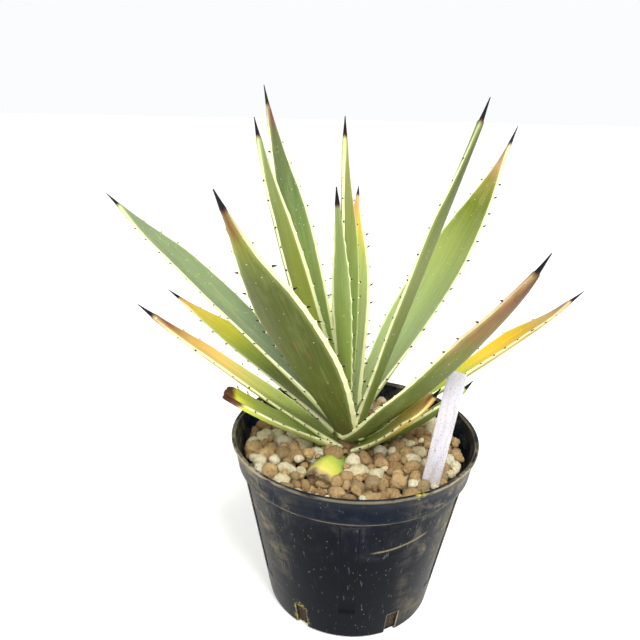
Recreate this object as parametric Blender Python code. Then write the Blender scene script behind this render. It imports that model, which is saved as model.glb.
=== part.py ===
"""Potted agave: a young agave rosette in a plastic nursery pot, in metres, +Z up.

The origin is the middle of the pot's flat underside. Azimuths are degrees in the ground
plane, 0 along +X and 90 along +Y. Each leaf grows from the short stem: it starts at its
azimuth and rise, and both change evenly along its length by sweep and bend.
"""
import math
from collections import namedtuple

import bmesh
import bpy
import numpy as np
from mathutils import Vector

for old in list(bpy.data.objects):
    bpy.data.objects.remove(old, do_unlink=True)

MM = 0.001

# ---- driving sizes -------------------------------------------------------------------
clearance = 0.3 * MM          # gap between touching pieces

rim_radius = 75 * MM          # outside of the rim, at the top
pot_height = 112 * MM
foot_radius = 52 * MM         # outside of the pot, at the ground
wall = 1.6 * MM
floor_thickness = 2 * MM
band_height = 18 * MM         # the plain band below the rim
band_step = 2 * MM            # how far the band stands out from the wall
lip = 1.2 * MM                # the small outward roll of the rim
rim_overhang = 5.85 * MM      # how far the rim stands out beyond the top of the plain wall
pot_steps = 60

strip_count = 6               # shallow upright strips pressed into the wall
strip_width = 9.6 * MM
strip_depth = 0.7 * MM
strip_first = -92             # azimuth of one strip
strip_bottom = 23 * MM        # height where the strips start
strip_below_band = 3 * MM     # from the band down to where they end
slot_count = 6
slot_first = -62              # azimuth of one drain slot
slot_width = 8 * MM
slot_top = 17 * MM            # a slot runs from here down through the edge of the foot

mix_below_rim = 14 * MM       # from the rim down to the flat top of the mix
mix_level = pot_height - mix_below_rim    # the loose granules lie on it
granule_size = 10 * MM
granule_height = 8 * MM
granule_rings = [             # share of the mix's radius, count, first azimuth, azimuths left free
    (0.84, 18, 5, [(-47, 12)]),
    (0.62, 10, 20, [(-113, 30)]),
]

stem_x, stem_y = -4 * MM, 1 * MM
stem_radius = 9 * MM
stem_depth = 24 * MM          # below the mix level
stem_height = 15 * MM         # above the mix level
root_count = 5
root_radius = 1.8 * MM
root_tip_radius = 0.9 * MM
root_reach = 36 * MM          # how far a root's end lies from the stem's axis
root_drop = 52 * MM           # how far a root's end lies below its start

leaf_thickness = 3.4 * MM
leaf_base_thickness = 6 * MM
leaf_channel = 0.35           # rise of the margins above the midrib, as a share of the half width
spine_half_width = 1.2 * MM   # where the leaf ends and its spine starts
point_half_width = 0.25 * MM

label_width = 10 * MM
label_thickness = 1 * MM
label_shown = 70 * MM
label_buried = 22 * MM
label_wall_gap = 7.5 * MM     # from the label's middle to the mix's edge, at the mix level
label_azimuth = -47
label_face = -18              # azimuth of the label's width
label_lean = 13               # degrees from upright
label_lean_azimuth = 40

# One line for each leaf: angles in degrees, lengths in mm. out and seat place its start,
# from the stem's axis and above the mix. neck is its width there and widest is where it is
# broadest, both as shares; taper above 1 draws the tip out finer. spine is the spine's length.
Leaf = namedtuple("Leaf", "azimuth rise bend sweep roll twist length width "
                          "out seat neck widest taper spine")
leaves = {
    "leaf_centre_young": Leaf(-100, 71, -3, -1, 13, 7, 160, 10, 3, 16, 0.60, 0.55, 1.55, 8.5),
    "leaf_centre": Leaf(154, 89, -1, -2, 11, -7, 182, 27, 4, 14, 0.55, 0.40, 1.40, 9.5),
    "leaf_back": Leaf(91, 51.5, 2, -6, -11, -5, 171, 27, 5, 13, 0.60, 0.50, 1.50, 7),
    "leaf_upper_left_narrow": Leaf(172.5, 70, 8, -4, -5, -6, 191, 31, 5, 11, 0.60, 0.35, 1.10, 9.5),
    "leaf_upper_left": Leaf(132.5, 64, 6, -5, 14, 1, 219, 28, 6, 12, 0.60, 0.50, 1.30, 12),
    "leaf_upper_right_narrow": Leaf(-15, 72, 2, -1, 4, -9, 204, 25, 5, 11, 0.60, 0.40, 0.80, 11),
    "leaf_upper_right": Leaf(38, 47, 6, 11, -26, 33, 231, 44, 3, 15, 0.60, 0.35, 1.65, 14),
    "leaf_front_left": Leaf(-116.5, 51.5, -4, 12, -15, 37, 212, 34, 5, 11, 0.65, 0.35, 1.55, 9.5),
    "leaf_left_long": Leaf(158.5, 39, -6, -6, 17, -19, 218, 32, 8, 15, 0.55, 0.45, 1.15, 12),
    "leaf_right": Leaf(-45.5, 41, 19, -8, 0, -4, 177, 27, 6, 9, 0.65, 0.30, 0.75, 10.5),
    "leaf_right_yellow": Leaf(20, 23, 7, 6, -20, -1, 182, 27, 8, 6, 0.60, 0.65, 1.40, 12),
    "leaf_left_yellow": Leaf(146, 26.5, -5, 3, 11, -16, 163, 25, 8, 8, 0.55, 0.50, 1.65, 11.5),
    "leaf_left_brown": Leaf(-162.5, 39.5, 3, -3, -6, -7, 149, 20, 6, 2, 0.50, 0.30, 0.90, 9),
    "leaf_short_right": Leaf(-35.5, 36, 24, -4, 9, 15, 77, 25, 9, 2, 0.50, 0.75, 1.40, 6),
    "leaf_short_behind_label": Leaf(-3.5, 20.5, 33, 3, -22, 0, 81, 19, 9, 1, 0.60, 0.60, 1.50, 6),
    "leaf_cut_short": Leaf(199, 26.5, 14, 7, 11, -16, 81, 26, 9, 2, 0.55, 0.65, 0.30, 0),
}
# The dead lower leaf that rotted back to a curled stump, its back arched up.
old_leaf_base = Leaf(-113, 30, -45, 0, 0, 0, 36, 24, 13, 3, 0.80, 0.40, 0.35, 0)
old_leaf_channel = -0.65
old_leaf_thickness = 3 * MM

leaf_rings = 14
ring_points = 8
cut_end_rings = 8             # the short cut leaf and the stump need fewer

# ---- small tools ---------------------------------------------------------------------


def material(name, colour, roughness, metallic=0.0):
    made = bpy.data.materials.new(name)
    made.use_nodes = True
    shader = made.node_tree.nodes["Principled BSDF"]
    shader.inputs["Base Color"].default_value = (*colour, 1)
    shader.inputs["Roughness"].default_value = roughness
    shader.inputs["Metallic"].default_value = metallic
    return made


def object_from(name, mesh_tools, made_of, smooth_angle=40):
    mesh = bpy.data.meshes.new(name)
    bmesh.ops.recalc_face_normals(mesh_tools, faces=mesh_tools.faces)
    mesh_tools.to_mesh(mesh)
    mesh_tools.free()
    mesh.shade_smooth()
    mesh.set_sharp_from_angle(angle=math.radians(smooth_angle))
    made = bpy.data.objects.new(name, mesh)
    bpy.context.scene.collection.objects.link(made)
    if made_of:
        mesh.materials.append(made_of)
    return made


def skin(rings):
    """A closed body through rings of points, with both ends capped."""
    body = bmesh.new()
    loops = [[body.verts.new(point) for point in ring] for ring in rings]
    for low, high in zip(loops, loops[1:]):
        for i in range(len(low)):
            j = (i + 1) % len(low)
            body.faces.new((low[i], low[j], high[j], high[i]))
    body.faces.new(loops[0][::-1])
    body.faces.new(loops[-1])
    bmesh.ops.triangulate(body, faces=body.faces, quad_method="FIXED")   # alike in a body and its space
    return body


def lathe(profile, steps):
    """A turned body from (radius, height) points that start and end on the axis."""
    body = bmesh.new()
    points = [body.verts.new((radius, 0, height)) for radius, height in profile]
    edges = [body.edges.new(pair) for pair in zip(points, points[1:])]
    bmesh.ops.spin(body, geom=points + edges, axis=(0, 0, 1), cent=(0, 0, 0),
                   angle=2 * math.pi, steps=steps, use_merge=True)
    bmesh.ops.remove_doubles(body, verts=body.verts, dist=0.00001)
    return body


def moved(body, x, y, z):
    bmesh.ops.translate(body, verts=body.verts, vec=(x, y, z))
    return body


def as_cutter(made):
    made.hide_render = True
    made.display_type = "WIRE"
    return made


def cut(made, cutters, operation="DIFFERENCE"):
    for cutter in cutters:
        step = made.modifiers.new("cut_" + cutter.name, "BOOLEAN")
        step.operation = operation
        step.object = cutter


def keep_largest(made):
    """Applies the cuts and drops the crumbs that they leave behind."""
    view = bpy.context.evaluated_depsgraph_get()
    mesh = bpy.data.meshes.new_from_object(made.evaluated_get(view))
    made.modifiers.clear()
    made.data = mesh
    body = bmesh.new()
    body.from_mesh(mesh)
    seen = set()
    islands = []
    for start in body.faces:
        if start in seen:
            continue
        seen.add(start)
        reached = [start]
        for face in reached:
            for edge in face.edges:
                for other in edge.link_faces if len(edge.link_faces) == 2 else ():
                    if other not in seen:
                        seen.add(other)
                        reached.append(other)
        islands.append(reached)
    islands.sort(key=len)
    for crumb in islands[:-1]:
        bmesh.ops.delete(body, geom=crumb, context="FACES")
    body.to_mesh(mesh)
    body.free()


def direction(azimuth, rise=0.0):
    around, up = math.radians(azimuth), math.radians(rise)
    return Vector((math.cos(up) * math.cos(around), math.cos(up) * math.sin(around), math.sin(up)))


# ---- pot -----------------------------------------------------------------------------
band_bottom = pot_height - band_height
wall_top_radius = rim_radius - rim_overhang
band_radius = wall_top_radius + band_step


def wall_radius(height):
    """Outside of the plain wall at a height."""
    return foot_radius + (wall_top_radius - foot_radius) * height / band_bottom


def inside_radius(height):
    """Inside of the pot at a height, up to the band."""
    return wall_radius(height) - wall


pot_profile = [
    (0, 0),
    (foot_radius - 1.5 * MM, 0),
    (wall_radius(1.5 * MM), 1.5 * MM),
    (wall_radius(strip_bottom * 1.3), strip_bottom * 1.3),
    (wall_top_radius, band_bottom),
    (band_radius, band_bottom + 0.5 * MM),
    (rim_radius - lip, pot_height - 2.5 * MM),
    (rim_radius, pot_height - 1.8 * MM),
    (rim_radius, pot_height - 0.4 * MM),
    (rim_radius - 0.5 * MM, pot_height),
    (rim_radius - lip - wall, pot_height),
    (band_radius - wall, band_bottom + 3 * MM),
    (wall_top_radius - wall, band_bottom),
    (inside_radius(floor_thickness), floor_thickness),
    (0, floor_thickness),
]


def wall_cutter(name, azimuth, width, low, high, depth_in, depth_out):
    """A slanting box that follows the wall between two heights."""
    out, side = direction(azimuth), direction(azimuth + 90)
    rings = []
    for height in (low, high):
        near, far = wall_radius(height) - depth_in, wall_radius(height) + depth_out
        corners = [(near, -1), (far, -1), (far, 1), (near, 1)]
        rings.append([out * r + side * (s * width / 2) + Vector((0, 0, height)) for r, s in corners])
    return as_cutter(object_from(name, skin(rings), None))


black_plastic = material("black_plastic", (0.014, 0.018, 0.026), 0.42)
pot = object_from("nursery_pot", lathe(pot_profile, pot_steps), black_plastic)
pot_cutters = []
for n in range(strip_count):
    pot_cutters.append(wall_cutter(f"strip_{n + 1}", strip_first + n * 360 / strip_count, strip_width,
                                   strip_bottom, band_bottom - strip_below_band, strip_depth, 2 * MM))
for n in range(slot_count):
    pot_cutters.append(wall_cutter(f"slot_{n + 1}", slot_first + n * 360 / slot_count, slot_width,
                                   -2 * MM, slot_top, 2 * wall, 2 * MM))
cut(pot, pot_cutters)

# ---- stem and roots ------------------------------------------------------------------
root_start = mix_level - stem_depth * 0.7


def stem_profile(grow):
    low, high = mix_level - stem_depth - grow, mix_level + stem_height + grow
    shoulder = mix_level + stem_height * 0.25
    return [
        (0, low),
        (stem_radius * 0.75 + grow, low),
        (stem_radius + grow, mix_level - stem_depth * 0.5),
        (stem_radius * 0.8 + grow, shoulder),
        (stem_radius * 0.2 + grow, high),
        (0, high),
    ]


def root_rings(index, grow):
    """A root runs out from the stem and turns down, thinning towards its end."""
    azimuth = 20 + index * 360 / root_count
    rings = []
    for step in range(8):
        t = step / 7
        reach = stem_radius * 0.3 + (root_reach - stem_radius * 0.3) * t ** 0.8
        drop = root_drop * (0.15 * t + 0.85 * t ** 2)
        wander = 10 * math.sin(3 * t + index)
        centre = direction(azimuth + wander) * reach + Vector((stem_x, stem_y, root_start - drop))
        radius = root_radius + (root_tip_radius - root_radius) * t + grow
        tilt = direction(azimuth + wander, -60 * t)
        side = direction(azimuth + wander + 90)
        up = tilt.cross(side)
        if step in (0, 7):
            centre += tilt * (grow if step else -grow)
        rings.append([centre + (side * math.cos(a) + up * math.sin(a)) * radius
                      for a in (k * math.pi / 3 for k in range(6))])
    return rings


def stem_body(grow=0.0):
    return moved(lathe(stem_profile(grow), 16), stem_x, stem_y, 0)


root_brown = material("root_brown", (0.20, 0.12, 0.06), 0.85)
stem = object_from("stem_and_roots", stem_body(), root_brown)
cut(stem, [as_cutter(object_from(f"root_{n + 1}", skin(root_rings(n, 0)), None))
           for n in range(root_count)], "UNION")
stem_space = as_cutter(object_from("stem_space", stem_body(clearance), None))
root_spaces = [as_cutter(object_from(f"root_space_{n + 1}", skin(root_rings(n, clearance)), None))
               for n in range(root_count)]

# ---- leaves --------------------------------------------------------------------------


def leaf_half_width(leaf, s):
    """Half the leaf's width at share s of its length: it widens from the neck on a sine,
    then narrows on a power of a parabola to the spine, which tapers straight to a point."""
    half, blade_end = leaf.width * MM / 2, 1 - leaf.spine / leaf.length
    if s > blade_end:
        return point_half_width + (spine_half_width - point_half_width) * (1 - s) / (1 - blade_end)
    if s < leaf.widest:
        share = leaf.neck + (1 - leaf.neck) * math.sin(math.pi / 2 * s / leaf.widest) ** 1.5
        return half * (share + 0.12 * max(0, 1 - s / 0.12) ** 2)
    fall = (1 - min(1, (s - leaf.widest) / (blade_end - leaf.widest)) ** 2) ** leaf.taper
    return spine_half_width + (half - spine_half_width) * fall


def grown(section, amount):
    """The outline with each side pushed out by an amount."""
    moved_out = []
    for i, point in enumerate(section):
        before = (point - section[i - 1]).normalized()
        after = (section[(i + 1) % len(section)] - point).normalized()
        outward = Vector((before.y + after.y, -before.x - after.x)) / (1 + before.dot(after))
        moved_out.append(point + outward * amount)
    return moved_out


def leaf_rings_of(leaf, grow=0.0, channel=leaf_channel, thick=leaf_thickness,
                  base_thick=leaf_base_thickness):
    """Cross sections along the leaf: a lens whose middle line rises to both margins."""
    blade_end = 1 - leaf.spine / leaf.length
    count = leaf_rings if leaf.spine and leaf.length > 100 else cut_end_rings
    fine = 64
    step = leaf.length * MM / fine
    point = Vector((stem_x, stem_y, mix_level + leaf.seat * MM)) + direction(leaf.azimuth) * leaf.out * MM
    path = [point.copy()]
    for i in range(fine):
        s = (i + 0.5) / fine
        point += direction(leaf.azimuth + leaf.sweep * s, leaf.rise + leaf.bend * s) * step
        path.append(point.copy())
    shares = [s * blade_end for s in np.linspace(0, 1, count)] + ([1.0] if leaf.spine else [])
    rings = []
    for s in shares:
        along = direction(leaf.azimuth + leaf.sweep * s, leaf.rise + leaf.bend * s)
        flat_side = direction(leaf.azimuth + leaf.sweep * s + 90)
        face = along.cross(flat_side)
        turn = math.radians(leaf.roll + leaf.twist * s)
        side = flat_side * math.cos(turn) + face * math.sin(turn)
        up = face * math.cos(turn) - flat_side * math.sin(turn)
        place = s * fine
        low = min(int(place), fine - 1)
        centre = path[low].lerp(path[low + 1], place - low)
        if s in (shares[0], shares[-1]):
            centre = centre + along * (grow if s else -grow)
        half = leaf_half_width(leaf, s)
        depth = thick + (base_thick - thick) * max(0, 1 - s / 0.3) ** 1.5
        depth = min(depth, 2 * half)
        fold = channel * half * min(1, max(0, (blade_end - s) / 0.25)) if leaf.spine else channel * half
        section = []
        for k in range(ring_points):
            around = 2 * math.pi * k / ring_points
            across = math.cos(around)
            section.append(Vector((across * half, fold * abs(across) ** 1.7 + depth / 2 * math.sin(around))))
        ring = [centre + side * x + up * y for x, y in grown(section, grow)]
        rings.append(ring)
    return rings


green = material("leaf_green", (0.19, 0.30, 0.08), 0.45)
gold = material("leaf_gold", (0.72, 0.45, 0.06), 0.5)
brown = material("leaf_brown", (0.32, 0.15, 0.06), 0.55)
finishes = {"leaf_left_yellow": gold, "leaf_right_yellow": gold, "leaf_short_right": gold,
            "leaf_left_brown": brown}

# Inner leaves come first: each clears the stem and the leaves inside it.
leaf_spaces = []
for name, leaf in leaves.items():
    made = object_from(name, skin(leaf_rings_of(leaf)), finishes.get(name, green))
    cut(made, [stem_space] + leaf_spaces)
    space = as_cutter(object_from(name + "_space", skin(leaf_rings_of(leaf, clearance)), None))
    leaf_spaces.append(space)
    keep_largest(made)

decayed = material("leaf_decayed", (0.36, 0.33, 0.10), 0.7)
old_shape = dict(channel=old_leaf_channel, thick=old_leaf_thickness, base_thick=old_leaf_thickness)
stump = object_from("old_leaf_base", skin(leaf_rings_of(old_leaf_base, **old_shape)), decayed)
cut(stump, [stem_space] + leaf_spaces)
stump_space = as_cutter(object_from("old_leaf_space",
                                    skin(leaf_rings_of(old_leaf_base, clearance, **old_shape)), None))
keep_largest(stump)

# ---- label ---------------------------------------------------------------------------


def mix_radius(height):
    return inside_radius(height) - clearance


def label_rings(grow=0.0):
    """A flat stake with a pointed foot, leaning in the mix."""
    stand = direction(label_azimuth) * (mix_radius(min(mix_level, band_bottom)) - label_wall_gap)
    stand += Vector((0, 0, mix_level))
    up = direction(label_lean_azimuth, 90 - label_lean)
    wide = direction(label_face)
    wide = (wide - up * wide.dot(up)).normalized()
    deep = up.cross(wide)
    rings = []
    for along, share in ((-label_buried - grow, 0.25), (-label_buried + 9 * MM, 1), (label_shown + grow, 1)):
        half = label_width / 2 * share + grow
        thick = label_thickness / 2 + grow
        rings.append([stand + up * along + wide * (half * a) + deep * (thick * b)
                      for a, b in ((-1, -1), (1, -1), (1, 1), (-1, 1))])
    return rings


white_plastic = material("label_plastic", (0.78, 0.77, 0.84), 0.4)
label = object_from("plant_label", skin(label_rings()), white_plastic)
label_space = as_cutter(object_from("label_space", skin(label_rings(clearance)), None))

# ---- mix and loose granules ----------------------------------------------------------
mix_bottom = floor_thickness + clearance
mix_profile = [
    (0, mix_bottom),
    (mix_radius(mix_bottom), mix_bottom),
    (mix_radius(band_bottom), band_bottom),
    (mix_radius(band_bottom) + (mix_level - band_bottom) * 0.25, mix_level),
    (0, mix_level),
]
mix_brown = material("mix_granules", (0.45, 0.28, 0.13), 0.9)
mix = object_from("potting_mix", lathe(mix_profile, pot_steps), mix_brown)
cut(mix, [stem_space, stump_space, label_space] + root_spaces + leaf_spaces)
keep_largest(mix)


def granule(name, place, turn, seed, made_of):
    """A worn stone: a ball pushed in and out, flattened where it lies."""
    body = bmesh.new()
    bmesh.ops.create_icosphere(body, subdivisions=2, radius=0.5)
    bumps = np.random.default_rng(seed).uniform(0.82, 1.0, len(body.verts))
    for vertex, bump in zip(body.verts, bumps):
        shape = vertex.co * bump
        x = shape.x * granule_size
        y = shape.y * granule_size * 0.85
        z = max(shape.z, -0.36) * granule_height
        vertex.co = (x * math.cos(turn) - y * math.sin(turn), x * math.sin(turn) + y * math.cos(turn), z)
    lowest = min(vertex.co.z for vertex in body.verts)
    moved(body, place.x, place.y, mix_level + clearance - lowest)
    return object_from(name, body, made_of)


cream_stone = material("granule_cream", (0.80, 0.72, 0.52), 0.9)
ochre_stone = material("granule_ochre", (0.42, 0.22, 0.09), 0.9)
number = 0
for share, count, first, free in granule_rings:
    for n in range(count):
        azimuth = first + n * 360 / count
        if any(abs((azimuth - at + 180) % 360 - 180) < reach for at, reach in free):
            continue
        number += 1
        place = direction(azimuth) * mix_radius(band_bottom) * share
        granule(f"granule_{number:02d}", place, 0.7 * number, number,
                cream_stone if number % 3 == 0 else ochre_stone)
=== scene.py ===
import math

import bmesh
import bpy
import numpy as np
from mathutils import Matrix, Vector


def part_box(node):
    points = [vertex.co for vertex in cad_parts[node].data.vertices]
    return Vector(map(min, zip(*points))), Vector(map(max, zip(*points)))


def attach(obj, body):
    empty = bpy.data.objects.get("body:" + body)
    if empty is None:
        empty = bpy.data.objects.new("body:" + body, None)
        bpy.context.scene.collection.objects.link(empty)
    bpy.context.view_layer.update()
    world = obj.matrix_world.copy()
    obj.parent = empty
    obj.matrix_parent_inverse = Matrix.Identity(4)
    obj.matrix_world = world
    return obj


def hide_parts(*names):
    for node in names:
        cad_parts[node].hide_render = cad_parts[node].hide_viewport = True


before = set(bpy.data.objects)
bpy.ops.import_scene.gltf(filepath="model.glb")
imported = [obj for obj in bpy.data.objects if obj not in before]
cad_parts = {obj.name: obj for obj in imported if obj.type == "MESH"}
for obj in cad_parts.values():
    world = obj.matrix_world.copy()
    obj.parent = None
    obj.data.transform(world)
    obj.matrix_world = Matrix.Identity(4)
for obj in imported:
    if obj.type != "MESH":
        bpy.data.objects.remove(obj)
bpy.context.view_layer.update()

# Potted agave: the looks of the rosette, the pot, the loose stones and the label.
# Lengths in the dictionaries are millimetres and angles are degrees; azimuth 0 is +X, 90 is +Y.
mm = 0.001
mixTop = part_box("potting_mix")[1].z / mm
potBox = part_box("nursery_pot")
rimRadius, potTop = potBox[1].x / mm, potBox[1].z / mm

# ---------- shader tools


def tint(code):
    # "#rrggbb" as the eye sees it, turned into the linear colour that shaders use
    parts = [int(code[i:i + 2], 16) / 255 for i in (1, 3, 5)]
    return tuple(((c + 0.055) / 1.055) ** 2.4 if c > 0.04045 else c / 12.92 for c in parts) + (1.0,)


class Wire:
    # one socket in a material; + - * and abs() on wires and numbers add Math nodes
    def __init__(self, finish, socket):
        self.finish, self.socket = finish, socket

    def maths(self, operation, first, second):
        return self.finish.node("Math", {"operation": operation}, {0: first, 1: second})

    def __add__(self, other):
        return self.maths("ADD", self, other)

    def __radd__(self, other):
        return self.maths("ADD", other, self)

    def __sub__(self, other):
        return self.maths("SUBTRACT", self, other)

    def __rsub__(self, other):
        return self.maths("SUBTRACT", other, self)

    def __mul__(self, other):
        return self.maths("MULTIPLY", self, other)

    def __rmul__(self, other):
        return self.maths("MULTIPLY", other, self)

    def __abs__(self):
        return self.maths("ABSOLUTE", self, 0)

    def larger(self, other):
        return self.maths("MAXIMUM", self, other)


class Finish:
    # a material and short ways to add its nodes
    def __init__(self, name):
        self.material = bpy.data.materials.new(name)
        self.material.use_nodes = True
        self.tree = self.material.node_tree
        self.shader = self.tree.nodes["Principled BSDF"]

    def node(self, kind, settings, sockets, out=0):
        made = self.tree.nodes.new("ShaderNode" + kind)
        for name, value in settings.items():
            if name == "stops":
                ramp = made.color_ramp
                while len(ramp.elements) < len(value):
                    ramp.elements.new(1)
                for stop, (place, colour) in zip(ramp.elements, value):
                    stop.position, stop.color = place, tint(colour)
            else:
                setattr(made, name, value)
        for name, value in sockets.items():
            if isinstance(value, Wire):
                self.tree.links.new(value.socket, made.inputs[name])
            else:
                made.inputs[name].default_value = value
        return Wire(self, made.outputs[out])

    def mark(self, name, out="Fac"):
        return self.node("Attribute", {"attribute_name": name}, {}, out)

    def place(self):
        return self.node("TexCoord", {}, {}, "Object")

    def stretched(self, where, scale, turn=(0, 0, 0), shift=(0, 0, 0)):
        return self.node("Mapping", {}, {"Vector": where, "Scale": scale,
                                         "Rotation": turn, "Location": shift})

    def noise(self, where, scale, detail=3, rough=0.5, twist=0):
        return self.node("TexNoise", {}, {"Vector": where, "Scale": scale, "Detail": detail,
                                          "Roughness": rough, "Distortion": twist})

    def cells(self, where, scale, out="Distance"):
        return self.node("TexVoronoi", {}, {"Vector": where, "Scale": scale}, out)

    def between(self, value, low, high):
        # 0 at low, 1 at high, smooth in between and flat outside
        return self.node("MapRange", {"interpolation_type": "SMOOTHSTEP"},
                         {"Value": value, "From Min": low, "From Max": high})

    def ramp(self, value, stops):
        return self.node("ValToRGB", {"stops": stops}, {"Fac": value}, "Color")

    def mix(self, factor, first, second, kind="MIX"):
        first, second = [tint(c) if isinstance(c, str) else c for c in (first, second)]
        return self.node("Mix", {"data_type": "RGBA", "blend_type": kind, "clamp_factor": True},
                         {0: factor, 6: first, 7: second}, 2)

    def split(self, where, axis):
        return self.node("SeparateXYZ", {}, {"Vector": where}, axis)

    def drive(self, **sockets):
        for name, value in sockets.items():
            socket = self.shader.inputs[name.replace("_", " ")]
            if isinstance(value, Wire):
                self.tree.links.new(value.socket, socket)
            else:
                socket.default_value = value

    def bump(self, height, strength, depth):
        raised = self.node("Bump", {}, {"Height": height, "Strength": strength, "Distance": depth * mm})
        self.drive(Normal=raised)


# ---------- mesh tools


def circle(count):
    # angles spread evenly round a full turn
    return 2 * np.pi * np.arange(count) / count


def turnFrom(angle, other):
    # how far an angle in degrees lies from another, between -180 and 180
    return (angle - other + 180) % 360 - 180


def added(name, data):
    made = bpy.data.objects.new(name, data)
    bpy.context.scene.collection.objects.link(made)
    return made


def headings(azimuth, rise):
    # unit vectors from azimuths and rises in degrees
    around, up = np.radians(azimuth), np.radians(rise)
    around, up = np.broadcast_arrays(around, up)
    return np.stack([np.cos(up) * np.cos(around), np.cos(up) * np.sin(around), np.sin(up)], axis=-1)


def tubes(rings, **marks):
    # rings is (tubes, rings, points, 3): each tube's neighbouring rings are joined by quads, and a fan
    # to the middle of each end ring closes it; marks are values for every ring point
    t, n, m = rings.shape[:3]
    middles = rings[:, [0, -1]].mean(axis=2)
    points = np.concatenate([rings.reshape(t, n * m, 3), middles], axis=1)
    i, j = np.meshgrid(np.arange(n - 1), np.arange(m), indexing="ij")
    k = (j + 1) % m
    quads = np.stack([i * m + j, i * m + k, (i + 1) * m + k, (i + 1) * m + j], axis=-1).reshape(-1, 4)
    j = np.arange(m)
    k, last = (j + 1) % m, (n - 1) * m
    fans = np.concatenate([np.stack([k, j, np.full(m, n * m)], axis=-1),
                           np.stack([last + j, last + k, np.full(m, n * m + 1)], axis=-1)])
    shift = (np.arange(t) * (n * m + 2))[:, None, None]
    spread = {}
    for name, value in marks.items():
        value = np.broadcast_to(value, (t, n, m) + np.shape(value)[3:])
        ends = value[:, [0, -1]].mean(axis=2)
        spread[name] = np.concatenate([value.reshape((t, n * m) + value.shape[3:]), ends],
                                      axis=1).reshape((t * (n * m + 2),) + value.shape[3:])
    return {"points": points.reshape(-1, 3), "quads": (quads + shift).reshape(-1, 4),
            "tris": (fans + shift).reshape(-1, 3), "marks": spread}


def pieceFrom(name, parts, finish, stands):
    # one mesh object from several sets of points, with its marks as attributes
    points = np.concatenate([part["points"] for part in parts]) * mm
    starts = np.cumsum([0] + [len(part["points"]) for part in parts])
    faces = []
    for start, part in zip(starts, parts):
        faces += (part["quads"] + start).tolist() + (part["tris"] + start).tolist()
    mesh = bpy.data.meshes.new(name)
    mesh.from_pydata(points, [], faces)
    for mark in parts[0]["marks"]:
        values = np.concatenate([part["marks"][mark] for part in parts]).astype(np.float32)
        kind, field = ("FLOAT_VECTOR", "vector") if values.ndim == 2 else ("FLOAT", "value")
        mesh.attributes.new(mark, kind, "POINT").data.foreach_set(field, values.ravel())
    mesh.shade_smooth()
    mesh.materials.append(finish.material)
    made = added(name, mesh)
    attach(made, "root")
    if stands:
        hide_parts(*stands)
    return made


# ---------- leaves

# The order of the fourteen growth values: azimuth and rise where the leaf starts, and how much
# both change along it; roll and twist about its own run; then lengths and shares of its outline.
growth = ("azimuth", "rise", "bend", "sweep", "roll", "twist", "length", "width",
          "out", "seat", "neck", "widest", "taper", "spine")
rosette = {
    "stem": (-4, 1),
    "thickness": 3.4,
    "baseThickness": 6,
    "channel": 0.35,           # rise of the margins above the midrib, as a share of the half width
    "spineHalf": 1.2,
    "pointHalf": 0.25,
    "wave": 0.35,              # how far the margins wander up and down
    "swell": 0.5,              # how far the margin swells under each tooth
    "alongSteps": 150,
    "aroundSteps": 40,
    "toothLength": 1.9,
    "toothWidth": 1.45,
    "toothRoot": 0.8,          # how much of a tooth is sunk in the margin
    "toothSides": 6,
}

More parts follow.
